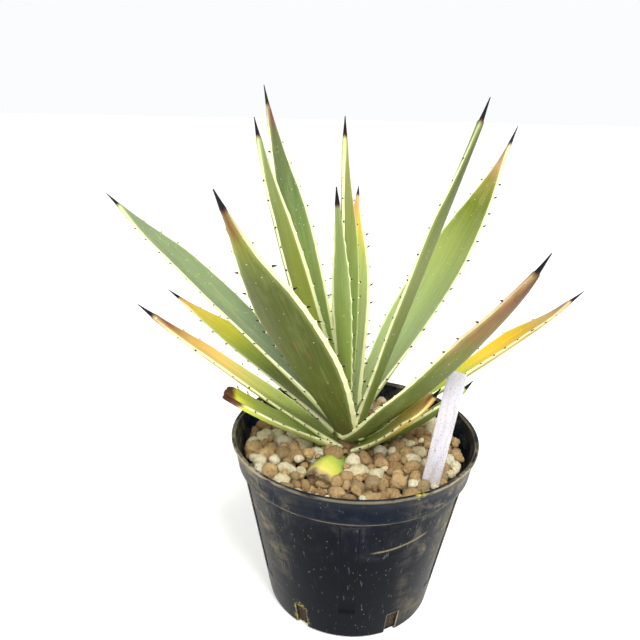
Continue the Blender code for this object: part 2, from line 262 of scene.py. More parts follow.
# grow: the values above. cream: width of the pale band on the side of azimuth - 90, then + 90.
# run: colours from the base to the tip. gap: room between teeth, near the base and near the tip.
# hem: how far below the spine the pale bands end, as a share. blush: a flush of colour from the margins.
# A separate fitting program worked out the growth values and the colours in run; they weren't chosen
# by hand. Some growth values were adjusted afterwards.
leaves = {
    "leaf_centre_young": {
        "grow": (-100, 71, -3, -1, 13, 7, 160, 10, 3, 16, 0.60, 0.55, 1.55, 8.5),
        "cream": (1.0, 0.7), "gap": (9, 13), "slot": "leaf_green",
        "run": [(0, "#a6b54d"), (0.2, "#899d42"), (0.6, "#84984e"), (1, "#748257")]},
    "leaf_centre": {
        "grow": (154, 89, -1, -2, 11, -7, 182, 27, 4, 14, 0.55, 0.40, 1.40, 9.5),
        "cream": (1.0, 1.2), "gap": (9, 16), "slot": "leaf_green", "hem": 0.05,
        "run": [(0, "#90a862"), (0.2, "#7c964d"), (0.6, "#829248"), (1, "#948e48")]},
    "leaf_back": {
        "grow": (91, 51.5, 2, -6, -11, -5, 171, 27, 5, 13, 0.60, 0.50, 1.50, 7),
        "cream": (2.2, 1.6), "gap": (9, 14), "slot": "leaf_green",
        "run": [(0, "#8b9d6f"), (0.45, "#95a266"), (0.66, "#9fae57"), (0.8, "#c5b144"),
                (0.9, "#d49a5c"), (1, "#c3856c")]},
    "leaf_upper_left_narrow": {
        "grow": (172.5, 70, 8, -4, -5, -6, 191, 31, 5, 11, 0.60, 0.35, 1.10, 9.5),
        "cream": (4.0, 1.3), "gap": (9, 16), "slot": "leaf_green", "hem": 0.08,
        "run": [(0, "#9d9e37"), (0.2, "#88902b"), (0.6, "#7e873b"), (1, "#7c8858")]},
    "leaf_upper_left": {
        "grow": (132.5, 64, 6, -5, 14, 1, 219, 28, 6, 12, 0.60, 0.50, 1.30, 12),
        "cream": (2.2, 1.2), "gap": (10, 20), "slot": "leaf_green", "specks": 0.5,
        "run": [(0, "#9aa95b"), (0.3, "#879a4f"), (0.7, "#566a3a"), (0.86, "#5b5e3a"),
                (0.9, "#6b3c3d"), (0.94, "#652a2f")]},
    "leaf_upper_right_narrow": {
        "grow": (-15, 72, 2, -1, 4, -9, 204, 25, 5, 11, 0.60, 0.40, 0.80, 11),
        "cream": (0.9, 1.4), "gap": (9, 17), "slot": "leaf_green", "hem": 0.4,
        "run": [(0, "#7c8744"), (0.3, "#6e7c3a"), (0.55, "#7c864c"), (0.8, "#515b2d"), (1, "#414a22")]},
    "leaf_upper_right": {
        "grow": (38, 47, 6, 11, -26, 33, 231, 44, 3, 15, 0.60, 0.35, 1.65, 14),
        "cream": (2.4, 1.4), "gap": (9, 15), "slot": "leaf_green", "specks": 0.4, "hem": 0.02,
        "run": [(0, "#acb681"), (0.3, "#a2b57a"), (0.55, "#8f9e53"), (0.72, "#65701b"),
                (0.80, "#7a742b"), (0.86, "#ab845c"), (0.915, "#75423b")]},
    # painted shade: the dark olive of this run is largely the shade on its outer face, which is turned away
    # from the light
    "leaf_front_left": {
        "grow": (-116.5, 51.5, -4, 12, -15, 37, 212, 34, 5, 11, 0.65, 0.35, 1.55, 9.5),
        "cream": (0.9, 1.9), "gap": (10, 18), "slot": "leaf_green", "blotch": 0.9, "scratch": True,
        "run": [(0, "#525a20"), (0.2, "#4d551b"), (0.5, "#414a11"), (0.72, "#474f19"),
                (0.8, "#5f692b"), (0.86, "#80812f"), (0.91, "#7f3c20"), (0.95, "#63080f")]},
    "leaf_left_long": {
        "grow": (158.5, 39, -6, -6, 17, -19, 218, 32, 8, 15, 0.55, 0.45, 1.15, 12),
        "cream": (0.6, 2.4), "gap": (9, 15), "slot": "leaf_green", "specks": 1.0, "hem": 0.03,
        "run": [(0, "#7c8a64"), (0.25, "#7b8a6b"), (0.6, "#7a8b61"), (0.85, "#73815c"), (1, "#768157")]},
    "leaf_right": {
        "grow": (-45.5, 41, 19, -8, 0, -4, 177, 27, 6, 9, 0.65, 0.30, 0.75, 10.5),
        "cream": (0.9, 1.5), "gap": (9, 14), "slot": "leaf_green", "blotch": 0.5,
        "blush": ("#a0644e", 0.7),
        "run": [(0, "#6f793e"), (0.25, "#556029"), (0.50, "#586329"), (0.64, "#6a6b2e"),
                (0.72, "#846139"), (0.84, "#70402b"), (0.94, "#4a251e")]},
    "leaf_right_yellow": {
        "grow": (20, 23, 7, 6, -20, -1, 182, 27, 8, 6, 0.60, 0.65, 1.40, 12),
        "cream": (1.6, 1.8), "gap": (9, 13), "slot": "leaf_gold", "blush": ("#b57a3c", 0.55), "hem": 0.05,
        "run": [(0, "#839632"), (0.3, "#8d9c29"), (0.46, "#b8b225"), (0.58, "#e2b216"),
                (0.74, "#c19c0a"), (0.84, "#b38e58"), (0.9, "#724960")]},
    "leaf_left_yellow": {
        "grow": (146, 26.5, -5, 3, 11, -16, 163, 25, 8, 8, 0.55, 0.50, 1.65, 11.5),
        "cream": (0.9, 1.9), "gap": (9, 14), "slot": "leaf_gold", "specks": 0.4,
        "run": [(0, "#737435"), (0.35, "#737f33"), (0.5, "#aebb46"), (0.6, "#e1de45"),
                (0.8, "#f4d944"), (0.88, "#f1ae54"), (0.93, "#9b5f41")]},
    "leaf_left_brown": {
        "grow": (-162.5, 39.5, 3, -3, -6, -7, 149, 20, 6, 2, 0.50, 0.30, 0.90, 9),
        "cream": (0.8, 1.3), "gap": (9, 14), "slot": "leaf_brown", "blotch": 0.4,
        "blush": ("#b57a58", 0.4),
        "run": [(0, "#91a457"), (0.35, "#98a557"), (0.5, "#b5b05b"), (0.64, "#d7b05a"),
                (0.78, "#bf964a"), (0.88, "#742706"), (0.93, "#4f1603")]},
    # painted light: the gold from 0.68 to 0.8 of this run is brightened to make up for the shadow the leaves
    # above cast on it
    "leaf_short_right": {
        "grow": (-35.5, 36, 24, -4, 9, 15, 77, 25, 9, 2, 0.50, 0.75, 1.40, 6),
        "cream": (1.3, 2.0), "gap": (8, 9), "slot": "leaf_gold", "blotch": 0.6, "blush": ("#c98a3a", 0.4),
        "run": [(0, "#899b40"), (0.3, "#9fa740"), (0.5, "#cdb63d"), (0.68, "#f5d651"),
                (0.80, "#f6cc53"), (0.87, "#d79139"), (0.93, "#583115")]},
    "leaf_short_behind_label": {
        "grow": (-3.5, 20.5, 33, 3, -22, 0, 81, 19, 9, 1, 0.60, 0.60, 1.50, 6),
        "cream": (1.2, 1.2), "gap": (8, 10), "slot": "leaf_green",
        "run": [(0, "#798c47"), (0.5, "#728740"), (1, "#83934e")]},
    "leaf_cut_short": {
        "grow": (199, 26.5, 14, 7, 11, -16, 81, 26, 9, 2, 0.55, 0.65, 0.16, 0),
        "cream": (0.8, 1.4), "gap": (9, 10), "slot": "leaf_green", "ragged": 1.6,
        "run": [(0, "#c1e075"), (0.55, "#d1e075"), (0.72, "#d7e46c"), (0.82, "#ebf05e"),
                (0.89, "#f2f446"), (0.94, "#a36425"), (1, "#543c1b")]},
}


def leafPath(leaf, shares, fine=400):
    # The midrib is the sum of small steps along a heading that turns evenly. side points to the
    # azimuth + 90 margin and up out of the upper face, both turned by roll and twist.
    ends = np.linspace(0, 1, fine + 1)
    middle = (ends[1:] + ends[:-1]) / 2
    steps = headings(leaf["azimuth"] + leaf["sweep"] * middle, leaf["rise"] + leaf["bend"] * middle)
    start = headings(leaf["azimuth"], 0.0) * leaf["out"] + (*rosette["stem"], mixTop + leaf["seat"])
    run = start + np.concatenate([np.zeros((1, 3)), np.cumsum(steps, axis=0)]) * leaf["length"] / fine
    centre = np.stack([np.interp(shares, ends, run[:, axis]) for axis in range(3)], axis=-1)
    along = headings(leaf["azimuth"] + leaf["sweep"] * shares, leaf["rise"] + leaf["bend"] * shares)
    flat = headings(leaf["azimuth"] + leaf["sweep"] * shares + 90, 0.0)
    face = np.cross(along, flat)
    turn = np.radians(leaf["roll"] + leaf["twist"] * shares)[..., None]
    side = flat * np.cos(turn) + face * np.sin(turn)
    up = face * np.cos(turn) - flat * np.sin(turn)
    return centre, along, side, up


def leafHalf(leaf, shares):
    # Half the width: a sine from the neck to the broadest place, then a power of a parabola down
    # to the spine, which tapers a little hollow to its point.
    half, blade = leaf["width"] / 2, leaf["blade"]
    climb = np.sin(np.pi / 2 * np.clip(shares / leaf["widest"], 0, 1)) ** 1.5
    rising = half * (leaf["neck"] + (1 - leaf["neck"]) * climb + 0.12 * np.clip(1 - shares / 0.12, 0, 1) ** 2)
    fall = 1 - np.clip((shares - leaf["widest"]) / (blade - leaf["widest"]), 0, 1) ** 2
    falling = rosette["spineHalf"] + (half - rosette["spineHalf"]) * fall ** leaf["taper"]
    taper = np.clip((1 - shares) / max(1 - blade, 0.001), 0, 1) ** 1.15
    spine = rosette["pointHalf"] + (rosette["spineHalf"] - rosette["pointHalf"]) * taper
    return np.where(shares > blade, spine, np.where(shares < leaf["widest"], rising, falling))


def leafFold(leaf, shares, half, channel):
    # rise of the margins; it fades out towards a spine
    fade = np.clip((leaf["blade"] - shares) / 0.25, 0, 1) if leaf["spine"] else 1
    return channel * half * fade


def toothPlaces(leaf, random):
    # shares of the length where teeth stand on one margin, the gaps growing towards the tip
    places, at, first, last = [], 0.07 * leaf["length"] + random.uniform(0, 5), *leaf["gap"]
    while at < leaf["length"] * leaf["blade"] - 9:
        places.append(at / leaf["length"])
        at += (first + (last - first) * places[-1]) * random.uniform(0.75, 1.25)
    return np.array(places)


def leafBlade(leaf, teeth, random, channel, thickness, baseThickness):
    # Cross section: x runs with the cosine of the angle round it, y is the lens thickness times the
    # sine plus the fold times x to the 1.7. Both margins swell at each tooth and wander a little.
    n, m = rosette["alongSteps"], rosette["aroundSteps"]
    shares = np.linspace(0, leaf["blade"], n)
    if leaf["spine"]:
        shares = np.concatenate([shares, np.linspace(leaf["blade"], 1, 16)[1:]])
    centre, along, side, up = leafPath(leaf, shares)
    half = leafHalf(leaf, shares)[:, None]
    fold = leafFold(leaf, shares, half[:, 0], channel)[:, None]
    depth = thickness + (baseThickness - thickness) * np.clip(1 - shares / 0.3, 0, 1) ** 1.5
    depth = np.minimum(depth[:, None], 2 * half)
    turn = circle(m)
    across, lift = np.cos(turn)[None, :], np.sin(turn)[None, :]
    swell = np.zeros((len(shares), m))
    for edge, places in zip((-1, 1), teeth):
        if len(places):
            away = np.abs(shares[:, None] - places[None, :]).min(axis=1) * leaf["length"]
            swell += np.where(across * edge > 0, np.exp(-(away[:, None] / 1.8) ** 2), 0)
    inBlade = np.clip((leaf["blade"] - shares) / 0.06, 0, 1)[:, None]
    phase = random.uniform(0, 6.28, 4)
    wander = (np.sin(shares[:, None] * leaf["length"] / 9 + phase[0] + across)
              + np.sin(shares[:, None] * leaf["length"] / 17 + phase[1] - 2 * across)) / 2
    x = across * (half + rosette["swell"] * swell * inBlade * np.abs(across) ** 6)
    y = fold * np.abs(across) ** 1.7 + depth / 2 * lift
    y = y + rosette["wave"] * wander * np.abs(across) ** 3 * inBlade
    rings = centre[:, None] + side[:, None] * x[..., None] + up[:, None] * y[..., None]
    length = shares[:, None] * leaf["length"]
    grain = np.stack(np.broadcast_arrays(across * half, length, 3 * np.sign(lift)), axis=-1)
    # under marks the lower face, which the finish darkens as painted shade
    marks = {"share": shares[:, None] + 0 * across, "across": across + 0 * half,
             "fromMargin": half * (1 - np.abs(across)), "under": np.where(lift < -0.01, 1.0, 0.0) + 0 * half,
             "horn": 0 * across + 0 * half, "grain": grain + random.uniform(0, 400)}
    return tubes(rings[None], **{name: value[None] for name, value in marks.items()})


def leafTeeth(leaf, teeth, random, channel):
    # Each tooth is a small cone with an oval base on the margin, hooked towards the tip or the base
    # and flattened across. Its radius falls with the square root of what is left of its length.
    parts, sides, root = [], rosette["toothSides"], rosette["toothRoot"]
    step = np.array([0, 0.3, 0.6, 0.85, 1.0])[None, :, None]
    turn = (np.arange(sides) * np.pi / 3)[None, None, :]
    for edge, places in zip((-1, 1), teeth):
        if not len(places):
            continue
        count = len(places)
        centre, along, side, up = leafPath(leaf, places)
        half = leafHalf(leaf, places)
        fold = leafFold(leaf, places, half, channel)
        base = centre + side * (edge * (half + rosette["swell"] - root))[:, None] + up * fold[:, None]
        size = (random.uniform(0.75, 1.15, count) * np.clip(half / 6, 0.45, 1))[:, None, None, None]
        lean = random.uniform(-0.15, 0.45, count)[:, None]
        out = side * edge + up * random.uniform(0.0, 0.3, count)[:, None]
        hook = along * lean
        spin = size * rosette["toothWidth"] * (0.06 + 0.94 * (1 - step[..., None]) ** 0.5) / 2
        reach = size * (rosette["toothLength"] + root)
        shape = base[:, None, None] + reach * (out[:, None, None] * step[..., None]
                                               + hook[:, None, None] * step[..., None] ** 1.6)
        ring = (up[:, None, None] * np.cos(turn)[..., None] * 0.6
                + along[:, None, None] * np.sin(turn)[..., None] * edge) * spin
        rings = shape + ring
        mark = np.ones((count, step.size, sides))
        grain = np.stack(np.broadcast_arrays(mark, places[:, None, None] * leaf["length"], mark), axis=-1)
        parts.append(tubes(rings, share=mark * places[:, None, None], across=mark * edge, fromMargin=mark * 0,
                           under=mark * 0, horn=mark * (0.15 + 0.85 * step), grain=grain))
    return parts


def leafFinish(name, leaf):
    # Green along the length by its own run of colours, streaked lengthwise, with pale margins, brown
    # blotches and dry tips, and a dark spine and teeth. The lower face is darkened as painted shade.
    finish = Finish(name + "_skin")
    share, across, edge = finish.mark("share"), finish.mark("across"), finish.mark("fromMargin")
    horn, under, grain = finish.mark("horn"), finish.mark("under"), finish.mark("grain", "Vector")
    clouds = finish.noise(finish.stretched(grain, (0.13, 0.03, 1)), 1.0, 4, 0.6)
    streaks = finish.noise(finish.stretched(grain, (0.9, 0.02, 1)), 1.0, 3, 0.6)
    lines = finish.noise(finish.stretched(grain, (3.0, 0.04, 1)), 1.0, 2, 0.5)
    fine = finish.noise(finish.stretched(grain, (1, 0.6, 1)), 1.3, 4, 0.7)
    colour = finish.ramp(share + (clouds - 0.5) * 0.08 + (lines - 0.5) * 0.03, leaf["run"])
    colour = finish.mix(finish.between(streaks, 0.40, 0.72) * 0.22, colour, "#7d9450", "MULTIPLY")
    colour = finish.mix(finish.between(clouds, 0.48, 0.75) * 0.16, colour, "#b0bd78")
    colour = finish.mix(finish.between(lines, 0.5, 0.72) * 0.08, colour, "#cfdba0")
    # painted shade: the lower face is darkened towards olive
    colour = finish.mix(under * 0.15, colour, "#6d7a3c")
    patch = leaf.get("blotch", 0.15)
    stain = finish.noise(finish.stretched(grain, (0.16, 0.035, 1), shift=(5, 3, 0)), 1.0, 3, 0.55)
    colour = finish.mix(finish.between(stain, 0.58, 0.68) * (0.45 * patch), colour, "#4d5c26")
    scar = finish.noise(finish.stretched(grain, (0.35, 0.22, 1), shift=(1, 9, 0)), 1.0, 2, 0.4)
    colour = finish.mix(finish.between(scar, 0.73, 0.77) * (0.5 * patch + 0.15), colour, "#6b4a2c")
    if "blush" in leaf:
        tone, strength = leaf["blush"]
        patches = finish.noise(finish.stretched(grain, (0.25, 0.06, 1)), 1.0, 3, 0.6)
        near = finish.between(edge, 4.5, 0.6) * finish.between(share, 0.46, 0.72)
        colour = finish.mix(near * finish.between(patches, 0.36, 0.62) * strength, colour, tone)
    # pale margins
    left, right = leaf["cream"]
    band = left + (right - left) * finish.between(across, -0.05, 0.05) + (streaks - 0.5) * 0.5
    hem = leaf.get("hem", 0.16)
    ends = finish.between(share, leaf["blade"] + 0.01, leaf["blade"] - hem)
    band = band * (1.1 - 0.65 * share) * ends + 0.05
    pale = finish.between(edge - band, 0.22, -0.16)
    tipped = finish.between(share, leaf["blade"] - 0.16, leaf["blade"] - 0.02)
    drawn = finish.mix(tipped * 0.5, finish.mix(clouds * 0.5, "#eef0be", "#dbe09c"), colour)
    if "blush" in leaf:
        drawn = finish.mix(finish.between(share, 0.46, 0.72) * strength * 0.7, drawn, tone)
    colour = finish.mix(finish.between(edge - band, 1.8, 0.1) * 0.22, colour, "#b9c876")
    colour = finish.mix(pale, colour, drawn)
    if leaf.get("scratch"):
        run = finish.noise(finish.stretched(grain, (0.9, 0.05, 1), (0, 0, 0.12), (2, 1, 0)), 1.0, 1, 0.3)
        middle = finish.between(share, 0.42, 0.46) * finish.between(share, 0.62, 0.58)
        colour = finish.mix(finish.between(run, 0.70, 0.74) * middle * 0.75, colour, "#8a5230")
    # pale mineral specks and dark grit
    specks = finish.cells(finish.stretched(grain, (0.62, 0.5, 1)), 1.0)
    rare = finish.cells(finish.stretched(grain, (0.62, 0.5, 1)), 1.0, "Color")
    chosen = finish.between(finish.split(rare, "X"), 0.92 - 0.4 * leaf.get("specks", 0.1), 0.99)
    colour = finish.mix(finish.between(specks, 0.26, 0.12) * chosen * 0.6, colour, "#dbe4c6")
    grit = finish.cells(finish.stretched(grain, (0.8, 0.7, 1), shift=(40, 7, 0)), 1.0)
    gritOn = finish.between(finish.noise(grain, 0.05, 2), 0.5, 0.62)
    colour = finish.mix(finish.between(grit, 0.13, 0.08) * gritOn * 0.6, colour, "#4a3a26")
    # soil dust at the base
    dusty = finish.between(share, 0.14, 0.0) * finish.between(fine, 0.35, 0.7)
    colour = finish.mix(dusty * 0.4, colour, "#8a7750")
    if "ragged" in leaf:
        scorched = finish.between(share + (fine - 0.5) * 0.12, 0.90, 0.95)
        colour = finish.mix(scorched, colour, finish.mix(fine, "#2a1812", "#6e4326"))
    # teeth and spine
    colour = finish.mix(finish.between(horn, 0.14, 0.2), colour, "#ebe6c0")
    colour = finish.mix(finish.between(horn, 0.34, 0.44), colour, "#3c2016")
    dark = finish.between(horn, 0.42, 0.52)
    if leaf["spine"]:
        reach = share + (lines - 0.5) * 0.014
        burnt = finish.between(reach, leaf["blade"] - 0.014, leaf["blade"] + 0.002)
        colour = finish.mix(burnt, colour, "#4a2a20")
        black = finish.between(reach, leaf["blade"] - 0.004, leaf["blade"] + 0.006)
        dark = dark.larger(black)
    colour = finish.mix(dark, colour, finish.mix(fine, "#040305", "#140d0e"))
    finish.drive(Base_Color=colour, Roughness=0.42 + fine * 0.2 + pale * 0.06, Specular_IOR_Level=0.18)
    finish.bump(lines * 0.5 + streaks * 0.6 + fine * 0.35 + stain * 0.3, 0.3, 0.35)
    return finish


def tornEnd(leaf, made):
    # The last stretch is pulled along the leaf by a sum of sines round the section, so its end is torn.
    share, across = made["marks"]["share"], made["marks"]["across"]
    along = leafPath(leaf, share)[1]
    torn = np.sin(9 * across + 1) + 0.7 * np.sin(21 * across) + 0.5 * np.sin(37 * across + 2)
    torn = torn - 2.2 * across ** 2
    pull = np.clip((share - 0.55) / 0.45, 0, 1) ** 1.5 * (torn - 1.2) * leaf["ragged"] / 2.5
    made["points"] = made["points"] + along * pull[:, None]


allLeafPoints = []
for number, (name, leaf) in enumerate(leaves.items()):
    leaf.update(zip(growth, leaf["grow"]))
    leaf["blade"] = 1 - leaf["spine"] / leaf["length"]
    random = np.random.default_rng(300 + number)
    teeth = [toothPlaces(leaf, random), toothPlaces(leaf, random)]
    blade = leafBlade(leaf, teeth, random, rosette["channel"], rosette["thickness"], rosette["baseThickness"])
    if "ragged" in leaf:
        tornEnd(leaf, blade)
    allLeafPoints.append(blade["points"])
    parts = [blade] + leafTeeth(leaf, teeth, random, rosette["channel"])
    pieceFrom(name + "_grown", parts, leafFinish(name, leaf), [name])
    low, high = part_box(name)
    drift = np.abs(np.concatenate([blade["points"].min(axis=0) - np.array(low) / mm,
                                   blade["points"].max(axis=0) - np.array(high) / mm])).max()
    print(f"{name}: {len(teeth[0]) + len(teeth[1])} teeth, {drift:.1f} mm from its frame box")
print("leaves grown")

# ---------- the curled stump of a dead leaf

stump = {
    "grow": (-111, 30, -45, 0, 0, 0, 37, 24, 14, 2.5, 0.80, 0.40, 0.12, 0),
    "channel": -0.80, "thickness": 2.4,
    "ragged": 3.6,             # how far the torn end runs in and out
    "run": [(0, "#6f8a38"), (0.35, "#8fa844"), (0.6, "#b9c04a"), (0.80, "#c9c160"),
            (0.89, "#a08e66"), (0.95, "#6a5640"), (1, "#4a3a2c")],
}
stump.update(zip(growth, stump["grow"]))
stump["blade"] = 1.0


def stumpShape():
    # the leaf's own cross section, arched the other way and torn off at its end
    none = [np.array([]), np.array([])]
    random = np.random.default_rng(77)
    made = leafBlade(stump, none, random, stump["channel"], stump["thickness"], stump["thickness"])
    tornEnd(stump, made)
    return made


def stumpFinish():
    finish = Finish("curled_dead_leaf")
    share, edge, grain = finish.mark("share"), finish.mark("fromMargin"), finish.mark("grain", "Vector")
    across = finish.mark("across")
    clouds = finish.noise(finish.stretched(grain, (0.2, 0.2, 1)), 1.0, 4, 0.6)
    fine = finish.noise(grain, 1.6, 4, 0.7)
    colour = finish.ramp(share + (clouds - 0.5) * 0.22 - across * 0.06, stump["run"])
    colour = finish.mix(finish.between(edge, 1.8, 0.3) * 0.5, colour, "#cfc98a")
    colour = finish.mix(finish.between(share, 0.86, 0.97) * finish.between(fine, 0.3, 0.7), colour, "#8a7450")
    grit = finish.cells(finish.stretched(grain, (0.9, 0.9, 1)), 1.0)
    colour = finish.mix(finish.between(grit, 0.16, 0.1) * 0.6, colour, "#4c3b26")
    finish.drive(Base_Color=colour, Roughness=0.55 + fine * 0.3)
    finish.bump(fine + clouds * 0.6, 0.5, 0.5)
    return finish


stumpMade = stumpShape()
allLeafPoints.append(stumpMade["points"])
pieceFrom("old_leaf_base_curled", [stumpMade], stumpFinish(), ["old_leaf_base"])
print("stump made")

# ---------- pot

pot = {
    "foot": 52, "wall": 1.6, "floor": 2, "bandHeight": 18, "bandStep": 2, "lip": 1.2,
    "rimOverhang": 5.85,       # how far the rim stands out past the top of the plain wall
    "lipHalf": 1.1, "lipRise": 0.8,
    "mixGap": 0.3,             # between the inside of the wall and what fills it
    "stripCount": 6, "stripFirst": -92, "stripWidth": 9.6, "stripDepth": 0.55, "stripLow": 23,
    "stripBelowBand": 3,
    "edgeLine": 0.35,          # how much deeper a strip is pressed along its two edges
    "slotCount": 6, "slotFirst": -62, "slotWidth": 8, "slotHigh": 17,
    "around": 300,
    "moss": [((-27.5, -44, 6), 7), ((-29, -45.5, 16), 6), ((33, -66, 110), 4), ((6, 54, 9), 7),
             ((-50, 4, 14), 6)],    # middle and size of each mossy spot
}
wallTop = rimRadius - pot["rimOverhang"]
bandLow = potTop - pot["bandHeight"]
insideTop = wallTop - pot["wall"]


def potWallAt(height):
    # outside of the plain wall at a height, on a straight slope from the foot to the band
    return pot["foot"] + (wallTop - pot["foot"]) * height / bandLow


def potProfile():
    # (radius, height) from the middle of the underside, up the outside, over the lip and down inside
    bandRadius, w, rise = wallTop + pot["bandStep"], pot["wall"], pot["lipRise"]
    outerHeights = (1.5, 2.5, 8, 12.5, pot["slotHigh"], 17.6, 21, 23, 24, 25.5, 34, 46, 60, 74, 85,
                    88, 90, 91, 91.8, 93)
    innerHeights = (pot["floor"], 2.8, 3.6, 4.6, 6, 8, 12.5, pot["slotHigh"], 30, 60, 92)
    outer = [(potWallAt(h), h) for h in outerHeights]
    inner = [(potWallAt(h) - w, h) for h in innerHeights]
    across, up = rimRadius - pot["lipHalf"], potTop - rise
    lipBend = [(across + pot["lipHalf"] * math.cos(a), up + rise * math.sin(a))
               for a in np.linspace(0, np.pi, 9)]
    band = [(wallTop - 0.05, bandLow - 0.4), (wallTop + 0.5, bandLow - 0.1),
            (bandRadius - 0.4, bandLow + 0.1),
            (bandRadius, bandLow + 0.6), (bandRadius + 0.35, bandLow + 3), (bandRadius + 1.4, bandLow + 9),
            (rimRadius - pot["lip"] - 0.1, potTop - 3.0), (rimRadius - 0.35, potTop - 2.3),
            (rimRadius - 0.05, potTop - 1.7)]
    down = [(rimRadius - pot["lip"] - w + 0.1, potTop - 2.5), (bandRadius - w, bandLow + 3),
            (wallTop - w, bandLow)]
    ground = [(0.0, 0.0), (30, 0.0), (pot["foot"] - 2.6, 0.0), (pot["foot"] - 1.2, 0.25),
              (pot["foot"] - 0.3, 0.8)]
    inside = [(30, pot["floor"]), (0.0, pot["floor"])]
    return np.array(ground + outer + band + lipBend + down + inner[::-1] + inside)


def potShape():
    # A turned profile. The outside is pressed in along each strip, deepest at its two edges. The cells
    # inside each drain slot are left out of both walls, which are joined round the opening.
    profile = potProfile()
    radii, heights, count = profile[:, 0], profile[:, 1], len(profile)
    topRow = int(np.argmax(heights))
    rows = np.arange(count)
    outerRows = rows[(rows < topRow) & (radii > 40) & (heights < pot["slotHigh"] + 0.1)]
    innerRows = rows[(rows > topRow) & (radii > 40) & (heights < pot["slotHigh"] + 0.1)][::-1]
    slotHalf = math.degrees(pot["slotWidth"] / 2 / (pot["foot"] + 1.5))
    stripHalf = math.degrees(pot["stripWidth"] / 2 / 60)
    slots = [pot["slotFirst"] + n * 360 / pot["slotCount"] for n in range(pot["slotCount"])]
    strips = [pot["stripFirst"] + n * 360 / pot["stripCount"] for n in range(pot["stripCount"])]
    special = [at + side * (slotHalf + s) for at in slots for side in (-1, 1) for s in (0, 0.45)]
    special += [at + side * stripHalf + s for at in strips for side in (-1, 1)
                for s in (-0.8, -0.5, -0.25, 0, 0.25, 0.5, 0.8)]
    special = np.array(special) % 360
    even = np.arange(pot["around"]) * 360 / pot["around"]
    gap = np.abs(turnFrom(even[:, None], special[None, :])).min(axis=1)
    turns = np.sort(np.concatenate([even[gap > 0.3], special]))
    m = len(turns)
    low, high = pot["stripLow"], bandLow - pot["stripBelowBand"]
    outside = (rows < topRow) & (heights > low - 0.1) & (heights < high + 0.1)
    fade = np.where(outside, np.clip((heights - low) / 1.5, 0, 1) * np.clip((high - heights) / 1.0, 0, 1), 0)
    away = np.abs(turnFrom(turns[:, None], np.array(strips)[None, :])).min(axis=1)
    pressed = np.clip((stripHalf + 0.25 - away) / 0.5, 0, 1) * pot["stripDepth"]
    pressed += pot["edgeLine"] * np.exp(-((away - stripHalf + 0.1) / 0.3) ** 2)
    radius = radii[:, None] - fade[:, None] * pressed[None, :]
    # line marks the pressed strip edges, which the finish paints near black as painted shade in the grooves
    line = fade[:, None] * np.exp(-((away - stripHalf + 0.1) / 0.42) ** 2)[None, :]
    angle = np.radians(turns)
    points = np.stack([radius * np.cos(angle), radius * np.sin(angle),
                       np.broadcast_to(heights[:, None], radius.shape)], axis=-1)
    # cells of both walls, less those inside a slot
    i, j = np.meshgrid(np.arange(1, count - 2), np.arange(m), indexing="ij")
    k = (j + 1) % m
    within = ((i >= outerRows[0]) & (i < outerRows[-1])) | ((i >= innerRows[-1]) & (i < innerRows[0]))
    middle = (turns[j] + ((turns[k] - turns[j]) % 360) / 2) % 360
    aside = np.abs(turnFrom(middle[..., None], np.array(slots))).min(axis=-1)
    quads = np.stack([i * m + j, i * m + k, (i + 1) * m + k, (i + 1) * m + j], axis=-1)
    quads = quads[~(within & (aside < slotHalf))]
    jambs = []
    edgeMark = np.zeros((count, m))
    for at in slots:
        offset = turnFrom(turns, at)
        inside = (np.abs(offset) < slotHalf + 0.01).nonzero()[0]
        inside = inside[np.argsort(offset[inside])]
        edgeMark[np.ix_(outerRows, inside[[0, -1]])] = 1
        edgeMark[outerRows[-1], inside] = 1
        for rowOut, rowIn, sign in ((outerRows[0], innerRows[0], 1), (outerRows[-1], innerRows[-1], -1)):
            a, b = inside[:-1], inside[1:]
            face = np.stack([rowOut * m + a, rowOut * m + b, rowIn * m + b, rowIn * m + a], axis=-1)
            jambs.append(face[:, ::sign])
        for column, sign in ((inside[0], -1), (inside[-1], 1)):
            face = np.stack([outerRows[:-1] * m + column, outerRows[1:] * m + column,
                             innerRows[1:] * m + column, innerRows[:-1] * m + column], axis=-1)
            jambs.append(face[:, ::sign])
    poles = np.array([[0, 0, 0], [0, 0, pot["floor"]]])
    base, last = count * m, (count - 2) * m
    j = np.arange(m)
    k = (j + 1) % m
    fans = np.concatenate([np.stack([m + k, m + j, np.full(m, base)], axis=-1),
                           np.stack([last + j, last + k, np.full(m, base + 1)], axis=-1)])
    marks = {"line": np.append(line.ravel(), [0, 0]), "slotEdge": np.append(edgeMark.ravel(), [0, 0])}
    return {"points": np.concatenate([points.reshape(-1, 3), poles]),
            "quads": np.concatenate([quads] + jambs), "tris": fans, "marks": marks}


